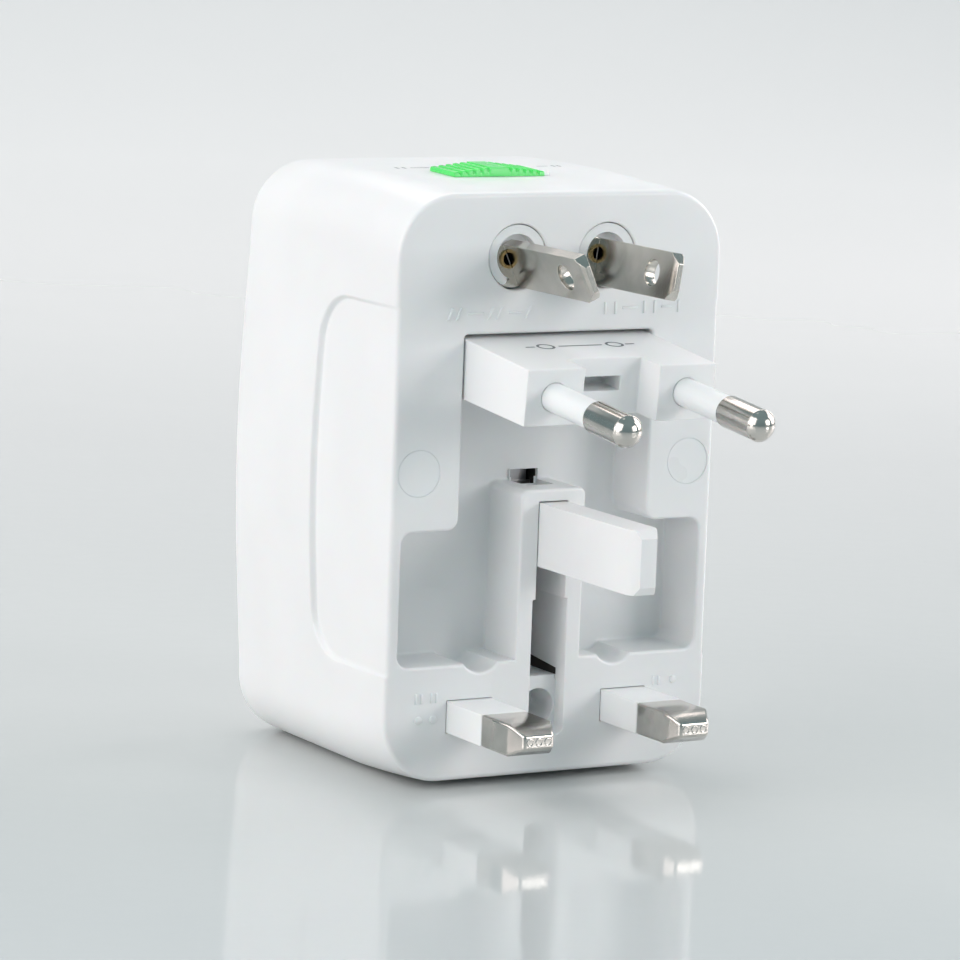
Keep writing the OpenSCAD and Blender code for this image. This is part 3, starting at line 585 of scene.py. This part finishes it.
cover = Skin()
rings = [cover.ring(ring_at(SEAM_D + 0.02, SEAM_SINK)),
         cover.ring(ring_at(SEAM_D + 0.05, SEAM_LIP))]
ROUND_STEPS = 12
for i in range(1, ROUND_STEPS + 1):
    a = math.radians(90 * i / ROUND_STEPS)
    e = REAR_R * (1 - math.cos(a))
    d = SEAM_D + REAR_R * math.sin(a)
    rings.append(cover.ring([(x, d, z) for x, z in outline(SEAM_D, e)]))
for a, b in zip(rings, rings[1:]):
    cover.bridge(a, b)
TRAY_D = BODY_D - 0.8
TRAY_W, TRAY_H, TRAY_R, TRAY_LIP = 36, 46, 5, 0.3
LENS_Z, LENS_HOLE_R, LENS_LIP = 63, 1.55, 0.2
tray = round_box(0, SOCKET_Z + 10, TRAY_W, TRAY_H, TRAY_R)
lens_hole = circle(0, LENS_Z, LENS_HOLE_R)
cover.plate([outline(SEAM_D, REAR_R), grown(tray, TRAY_LIP), grown(lens_hole, LENS_LIP)], BODY_D)
cover.walls(tray, [(e, BODY_D - d) for e, d in quarter(TRAY_LIP)]
            + [(-d, TRAY_D + e) for e, d in quarter(TRAY_LIP)])
cover.walls(lens_hole, [(e, BODY_D - d) for e, d in quarter(LENS_LIP)] + [(0, SEAM_D)])


def turned_box(x, z, w, h, degrees):
    a = math.radians(degrees)
    c, s = math.cos(a), math.sin(a)
    return [(x + c * u * w / 2 - s * v * h / 2, z + s * u * w / 2 + c * v * h / 2)
            for u, v in ((-1, -1), (1, -1), (1, 1), (-1, 1))]


pole = [circle(9.5, SOCKET_Z, 2.6), turned_box(11.1, SOCKET_Z, 7.4, 4.8, 0),
        turned_box(6.4, SOCKET_Z, 2.2, 7.4, 0), turned_box(6.9, SOCKET_Z, 2.2, 7.6, 30)]
socket_loops = pole + [[(-x, z) for x, z in loop[::-1]] for loop in pole]
socket_loops.append(turned_box(0, SOCKET_Z + 22.2, 4.6, 8.6, 0))
tray_floor = grown(tray, -TRAY_LIP)


def on_tray(p):
    return inside(p, tray_floor) and not any(inside(p, loop) for loop in socket_loops)


kept = cover.plate([tray_floor] + socket_loops, TRAY_D, on_tray)
# walls of the socket's openings, below the open edges inside the tray
edges = {}
for face in kept:
    for i, v in enumerate(face):
        key = tuple(sorted((face[i - 1], v)))
        edges[key] = edges.get(key, 0) + 1
inner = grown(tray_floor, -0.05)
for (a, b), uses in edges.items():
    ends = [cover.verts[a], cover.verts[b]]
    mid = ((ends[0][0] + ends[1][0]) / 2, (ends[0][2] + ends[1][2]) / 2)
    if uses == 1 and inside(mid, inner):
        low = cover.ring([(x, SEAM_D, z) for x, _, z in ends])
        cover.faces.append((a, b, low[1], low[0]))
piece("cover_skin", cover.mesh("cover_skin"), WHITE, "housing", ["socket_side_cover"])

# ---------------------------------------------------------------- selector knob

KNOB_HALF, KNOB_HALF_D = 6.48, 3.13
CREST_HALF, RISE, END_RISE = 1.3, 1.17, 0.6
GROOVES, FIRST_GROOVE, GROOVE_PITCH = 5, 1.55, 1.01
GROOVE_W, GROOVE_DEEP = 0.56, 0.42
KNOB_EDGE = 0.14         # rounding of the knob's upper edges
KNOB_STEP = 0.035        # spacing of vertices along the knob


def knob_height(x):
    """Flat crest that falls towards both ends, with a row of grooves on each side."""
    far = abs(x)
    z = RISE - (RISE - END_RISE) * max(0.0, far - CREST_HALF) / (KNOB_HALF - CREST_HALF)
    for i in range(GROOVES):
        off = abs(far - FIRST_GROOVE - i * GROOVE_PITCH) / (GROOVE_W / 2)
        if off < 1:
            z -= GROOVE_DEEP * math.sqrt(1 - off * off)
    end = KNOB_HALF - far
    if end < KNOB_EDGE:
        z -= KNOB_EDGE - math.sqrt(max(0.0, KNOB_EDGE ** 2 - (KNOB_EDGE - end) ** 2))
    return z


knob = Skin()
knob_x = spread(-KNOB_HALF, KNOB_HALF, KNOB_STEP) + [KNOB_HALF]
knob_d0 = KNOB_D - KNOB_HALF_D
sections = [(knob_d0, KNOB_EDGE), (knob_d0 + 0.04, 0.05), (knob_d0 + KNOB_EDGE, 0.0)]
sections += [(d, 0.0) for d in spread(knob_d0 + 1, KNOB_D + KNOB_HALF_D - 0.9, 1)]
sections += [(2 * KNOB_D - d, e) for d, e in sections[2::-1]]
rows, feet = [], []
for d, e in sections:
    rows.append(knob.ring([(KNOB_X + x, d, top_z(d) + knob_height(x) - e) for x in knob_x]))
    feet.append(knob.ring([(KNOB_X + x, d, top_z(d) + 0.03) for x in knob_x]))
for a, b in zip(rows, rows[1:]):
    knob.bridge(a, b, closed=False)
for side in (0, -1):
    for a, b, c, d in zip(rows, rows[1:], feet, feet[1:]):
        knob.faces.append((a[side], b[side], d[side], c[side]))
    knob.bridge(rows[side], feet[side], closed=False)
piece("knob_skin", knob.mesh("knob_skin", sharp=42), GREEN, "selector", ["selector_knob"],
      weighted=False)

# white stop beside the knob, which moves with it
STOP_X = (KNOB_X + 6.56, KNOB_X + 7.4)
STOP_D = (12.6, 18.0)
STOP_RISE = 0.6
stop = Skin()
stop_rings = []
for e, h in ((0, 0.015), (0, STOP_RISE * 0.6), (STOP_RISE * 0.25, STOP_RISE * 0.92),
             (STOP_RISE * 0.5, STOP_RISE)):
    x0, x1, d0, d1 = STOP_X[0] + e, STOP_X[1] - e, STOP_D[0] + e, STOP_D[1] - e
    stop_rings.append(stop.ring([(x, d, top_z(d) + h) for x, d in
                                 ((x0, d0), (x1, d0), (x1, d1), (x0, d1))]))
for a, b in zip(stop_rings, stop_rings[1:]):
    stop.bridge(a, b)
stop.faces.append(tuple(stop_rings[-1]))
piece("knob_stop", stop.mesh("knob_stop"), WHITE, "selector", [])

# ---------------------------------------------------------------- generic marks

MARK_RISE = 0.16
STROKE = 0.3             # width of an upright bar
DOT_R = 0.5


def bars(*shapes):
    """Outlines of bars, each as (middle x, middle z, width, height, lean)."""
    out = []
    for x, z, w, h, lean in shapes:
        out.append([(x + (u * w + lean * v * h) / 2, z + v * h / 2)
                    for u, v in ((-1, -1), (1, -1), (1, 1), (-1, 1))])
    return out


def row(z, h, xs, lean=0.0, w=STROKE):
    """Bars of one height, side by side."""
    return bars(*[(x, z, w, h, lean) for x in xs])


def line(x0, x1, z):
    return bars(((x0 + x1) / 2, z, x1 - x0, 0.24, 0))


def dots(*middles):
    return [circle(x, z, DOT_R, 20) for x, z in middles]


def low_relief(name, loops):
    """Marks moulded a little proud of the pin face."""
    skin = Skin()
    for loop in loops:
        rings = [skin.ring([(x, d, z) for x, z in grown(loop, t)])
                 for t, d in ((0.03, -0.005), (0, -MARK_RISE * 0.7), (-0.05, -MARK_RISE))]
        for a, b in zip(rings, rings[1:]):
            skin.bridge(a, b)
        skin.plate([grown(loop, -0.05)], -MARK_RISE)
    return piece(name, skin.mesh(name, sharp=60), WHITE, "housing", [],
                 weighted=False)


UPPER_LEFT_Z, UPPER_RIGHT_Z, UPPER_H = 59.2, 59.4, 1.5
LOWER_LEFT_Z, LOWER_RIGHT_Z, LOWER_H = 11.6, 11.75, 1.2
low_relief("mark_upper_left", row(UPPER_LEFT_Z, UPPER_H, (-15.7, -14.5), lean=0.4)
           + line(-13.2, -11.0, UPPER_LEFT_Z)
           + row(UPPER_LEFT_Z, UPPER_H, (-10.0, -8.8), lean=0.4)
           + line(-7.5, -5.6, UPPER_LEFT_Z)
           + row(UPPER_LEFT_Z, UPPER_H, (-4.7,), lean=0.4))
low_relief("mark_upper_right", row(UPPER_RIGHT_Z, UPPER_H, (6.3, 7.8))
           + line(8.8, 11.0, UPPER_RIGHT_Z) + row(UPPER_RIGHT_Z, UPPER_H, (12.0, 13.5))
           + line(14.5, 16.0, UPPER_RIGHT_Z) + row(UPPER_RIGHT_Z, UPPER_H, (17.0,)))
low_relief("mark_lower_left", row(LOWER_LEFT_Z, LOWER_H, (-18.7, -17.9, -16.5, -15.8), w=0.28)
           + dots((-18.3, 8.9), (-16.2, 8.9)))
low_relief("mark_lower_right", row(LOWER_RIGHT_Z, LOWER_H, (15.6, 16.4), w=0.28)
           + dots((18.5, LOWER_RIGHT_Z)))

PRINT_LINE = 0.34        # line width of the print on the block


def printed(name, loops, body, place, rounds=()):
    """Flat print of loops and of rings (across, along, radius).

    place turns (across, along) into a point just above the surface.
    """
    skin = Skin()
    for loop in loops:
        skin.faces.append(tuple(skin.ring([place(u, v) for u, v in loop])))
    for u0, v0, r in rounds:
        outer, inner = (skin.ring([place(u, v) for u, v in circle(u0, v0, e, 12)])
                        for e in (r, r - PRINT_LINE))
        skin.bridge(outer, inner)
    return piece(name, skin.mesh(name, weld=1e-7), PRINT, body, [],
                 weighted=False)


BLOCK_HINGE = (4.0, 52.7)        # depth and height of the block's hinge
BLOCK_SAG = math.radians(6)
BLOCK_H, BLOCK_TAPER, BLOCK_LENGTH = 3.82, 0.3, 18.9


def above_block(u, v):
    """Point on the open block's top, v out from its hinge."""
    h = BLOCK_H - BLOCK_TAPER * v / BLOCK_LENGTH
    return (u, BLOCK_HINGE[0] - v * math.cos(BLOCK_SAG) - h * math.sin(BLOCK_SAG),
            BLOCK_HINGE[1] - v * math.sin(BLOCK_SAG) + h * math.cos(BLOCK_SAG))


def above_top(u, v):
    return (u, v, top_z(v) + 0.02)


TOP_PRINT_D, TOP_PRINT_H, TOP_DASH = 22.2, 1.2, 0.26
printed("print_top_left", row(TOP_PRINT_D, TOP_PRINT_H, (-11.6, -10.6))
        + bars((-8.3, TOP_PRINT_D, 2.8, TOP_DASH, 0)), "housing", above_top)
printed("print_top_right", bars((9.6, TOP_PRINT_D, 1.6, TOP_DASH, 0))
        + row(TOP_PRINT_D, TOP_PRINT_H, (11.2, 12.0)), "housing", above_top)
BLOCK_PRINT_V, BLOCK_RING_R = 8.3, 1.2
printed("print_block", bars(*[(u, BLOCK_PRINT_V, w, PRINT_LINE, 0)
                              for u, w in ((-7.0, 1.3), (7.2, 1.3), (0.1, 6.2))]),
        "round_pin_plug", above_block, [(u, BLOCK_PRINT_V, BLOCK_RING_R) for u in (-4.8, 5.0)])

# ---------------------------------------------------------------- softened small pieces

for node, body, width, material, slot_name in (
        ("round_pin_block", "round_pin_plug", 0.28, WHITE, "white_plastic"),
        ("round_pin_sleeves", "round_pin_plug", 0.1, WHITE, "white_plastic"),
        ("earth_pin", "earth_lever", 0.22, WHITE, "white_plastic"),
        ("pin_carriage", "pin_slider", 0.12, WHITE, "white_plastic"),
        ("left_blade_disc", "left_blade_turner", 0.12, WHITE, "white_plastic"),
        ("right_blade_disc", "right_blade_turner", 0.12, WHITE, "white_plastic"),
        ("left_blade", "left_blade_turner", 0.16, BLADE, "nickel_plate"),
        ("right_blade", "right_blade_turner", 0.16, BLADE, "nickel_plate"),
        ("live_pin", "pin_slider", 0.32, NICKEL, "nickel_plate"),
        ("neutral_pin", "pin_slider", 0.32, NICKEL, "nickel_plate"),
        ("round_pin_live", "round_pin_plug", 0.1, NICKEL, "nickel_plate"),
        ("round_pin_neutral", "round_pin_plug", 0.1, NICKEL, "nickel_plate")):
    piece(node + "_skin", softened(node, width), material, body, [node])

# crimp marks on the ends of the rectangular pins
PIN_END = -17.2
CRIMP_PITCH, CRIMP_R = 1.25, 0.34
crimps = Skin()
for s in (-1, 1):
    for i in (-1, 0, 1):
        loop = circle(s * PIN_X + CRIMP_PITCH * i, PIN_Z, CRIMP_R, 20)
        rings = [crimps.ring([(x, PIN_END + d, z) for x, z in grown(loop, t)])
                 for t, d in ((0.2, 0.02), (0.13, -0.06), (0.05, -0.06), (0, 0.0), (-0.1, 0.01))]
        for a, b in zip(rings, rings[1:]):
            crimps.bridge(a, b)
        crimps.faces.append(tuple(rings[-1]))
piece("pin_end_crimps", crimps.mesh("pin_end_crimps", sharp=80), NICKEL, "pin_slider", [],
      weighted=False)

# near-black plate above the bridge between the pins, in the slot's side: painted shade of the
# shadowed gap there
BRIDGE_TOP, SLOT_SIDE = 13.0, 2.47
GAP_D, GAP_H = (2.2, 9.2), (0.85, 1.5)
gap = Skin()
gap.ring([(SLOT_SIDE, d, BRIDGE_TOP + h) for d, h in
          ((GAP_D[0], 0), (GAP_D[1], 0), (GAP_D[1], GAP_H[1]), (GAP_D[0], GAP_H[0]))])
gap.faces.append((0, 1, 2, 3))
piece("bridge_gap_painted_shade", gap.mesh("bridge_gap_painted_shade"), PAINTED_SHADE, "housing", [], weighted=False)

# the shutter's spring, as a steel copy of its CAD mesh with its own mesh data
cad = frame["nodes"]["shutter_spring"]
data = cad.data.copy()
data.transform(cad.matrix_world)
spring = piece("shutter_spring_skin", data, STEEL, "housing", ["shutter_spring"],
               weighted=False)
low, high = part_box("shutter_spring")
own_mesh(spring)

# ---------------------------------------------------------------- studio

CAM_LENS = 177.14
CAM_PLACE = (-0.297372, -0.518437, 0.125641)
CAM_YAW, CAM_PITCH, CAM_ROLL = (math.radians(a) for a in (-29.953, -8.623, -2.061))
cam_data = bpy.data.cameras.new("camera")
cam_data.lens = CAM_LENS
cam_data.sensor_width = 36
cam_data.clip_start, cam_data.clip_end = 0.01, 10
cam = bpy.data.objects.new("camera", cam_data)
bpy.context.scene.collection.objects.link(cam)
turn = (Matrix.Rotation(CAM_YAW, 4, "Z") @ Matrix.Rotation(CAM_PITCH, 4, "X")
        @ Matrix.Rotation(CAM_ROLL, 4, "Y"))
look = Matrix.Rotation(math.radians(90), 4, "X")
cam.matrix_world = Matrix.Translation(CAM_PLACE) @ turn @ look
bpy.context.scene.camera = cam


def area_light(name, place, target, size, power, colour):
    data = bpy.data.lights.new(name, "AREA")
    data.energy = power
    data.color = colour
    data.shape = "RECTANGLE"
    data.size = data.size_y = size
    ob = bpy.data.objects.new(name, data)
    bpy.context.scene.collection.objects.link(ob)
    ob.location = place
    ob.rotation_euler = (Vector(target) - Vector(place)).to_track_quat("-Z", "Y").to_euler()


OBJECT_MID = (0, 0, 0.035)
area_light("key, left", (-0.75, -0.25, 0.45), OBJECT_MID, 0.7, 3.35, (1, 0.93, 0.915))
area_light("low, left", (-0.85, -0.18, 0.14), OBJECT_MID, 0.4, 1.0, (1, 0.95, 0.94))
area_light("left, behind", (-0.8, 0.35, 0.5), OBJECT_MID, 0.7, 3.2, (1, 0.88, 0.865))
area_light("close fill, right", (0.24, -0.33, 0.16), (0.02, -0.02, 0.05), 0.16, 0.45,
           (1, 0.95, 0.94))
area_light("fill, right of the camera", (0.55, -0.85, 0.3), OBJECT_MID, 0.5, 0.7, (1, 0.95, 0.94))
area_light("right", (0.8, 0.0, 0.35), OBJECT_MID, 0.6, 4.9, (1, 0.91, 0.91))
area_light("behind, above", (0.25, 0.6, 0.8), OBJECT_MID, 0.6, 2.4, (1, 0.9, 0.88))
area_light("backdrop wash", (-0.3, 0.5, 1.3), (0.5, 1.6, 0.3), 1.0, 5.5, (1, 0.95, 0.94))

world = bpy.data.worlds.new("studio")
bpy.context.scene.world = world
n = Nodes(world)
where = n.add("TexCoord").outputs["Generated"]
height = n.add("SeparateXYZ", {0: where}).outputs["Z"]
mix = n.add("Mix", {"Factor": n.ramp(height, -0.1, 0.7, 0, 1), "A": rgb(0.50, 0.69, 0.74),
                    "B": rgb(0.66, 0.90, 0.96)}, data_type="RGBA")
back = n.add("Background", {"Color": mix.outputs["Result"], "Strength": 0.40})
n.add("OutputWorld", {"Surface": back.outputs[0]})

# table that sweeps up into the backdrop
SWEEP_Y, SWEEP_R, SWEEP_STEPS = 700, 900, 24
TABLE_FRONT, TABLE_HALF_W, BACKDROP_H = 2500.0, 3000.0, 3000.0
profile = [(-TABLE_FRONT, 0.0)]
for i in range(SWEEP_STEPS + 1):
    a = math.radians(90 * i / SWEEP_STEPS)
    profile.append((SWEEP_Y + SWEEP_R * math.sin(a), SWEEP_R * (1 - math.cos(a))))
profile.append((SWEEP_Y + SWEEP_R, BACKDROP_H))
across = [-TABLE_HALF_W, TABLE_HALF_W]
data = bpy.data.meshes.new("backdrop")
verts = [(x * MM, y * MM, z * MM) for y, z in profile for x in across]
data.from_pydata(verts, [], [(2 * i, 2 * i + 1, 2 * i + 3, 2 * i + 2)
                             for i in range(len(profile) - 1)])
for poly in data.polygons:
    poly.use_smooth = True
backdrop = bpy.data.objects.new("backdrop", data)
bpy.context.scene.collection.objects.link(backdrop)
backdrop.rotation_euler = (0, 0, CAM_YAW)
m = bpy.data.materials.new("pale table, painted falloff")
n = Nodes(m)
where = n.add("TexCoord").outputs["Object"]
cloud = n.noise(where, 9, 3)
away = n.add("SeparateXYZ", {0: where}).outputs["Y"]
bump = n.add("Bump", {"Height": n.noise(where, 260, 2), "Strength": 0.05, "Distance": 0.0002})
# painted light: the table's colour is darker towards the camera and paler towards the backdrop,
# standing for how the light falls off
tone = n.add("ValToRGB", {"Fac": n.ramp(away, -0.2, 0.8, 0, 1)})
falloff_stops = tone.color_ramp.elements
falloff_stops.remove(falloff_stops[1])
falloff_stops[0].position, falloff_stops[0].color = 0.1, rgb(0.55, 0.585, 0.59)
for place, colour in ((0.17, rgb(0.61, 0.635, 0.63)), (0.47, rgb(0.65, 0.655, 0.655)),
                      (1.0, rgb(0.88, 0.875, 0.87))):
    falloff_stops.new(place).color = colour
shader = n.add("BsdfPrincipled", {"Base Color": tone.outputs["Color"],
                                  "Roughness": n.add("Math", {
                                      0: n.ramp(away, 0.0, 0.6, 0.06, 0.3),
                                      1: n.ramp(cloud, 0.3, 0.7, 0.0, 0.03)},
                                      operation="ADD").outputs[0],
                                  "Specular IOR Level": 0.6,
                                  "Normal": bump.outputs["Normal"]})
n.add("OutputMaterial", {"Surface": shader.outputs[0]})
data.materials.append(m)

bpy.context.scene.view_settings.view_transform = "Standard"
bpy.context.scene.view_settings.look = "None"
bpy.context.scene.view_settings.exposure = 0.0
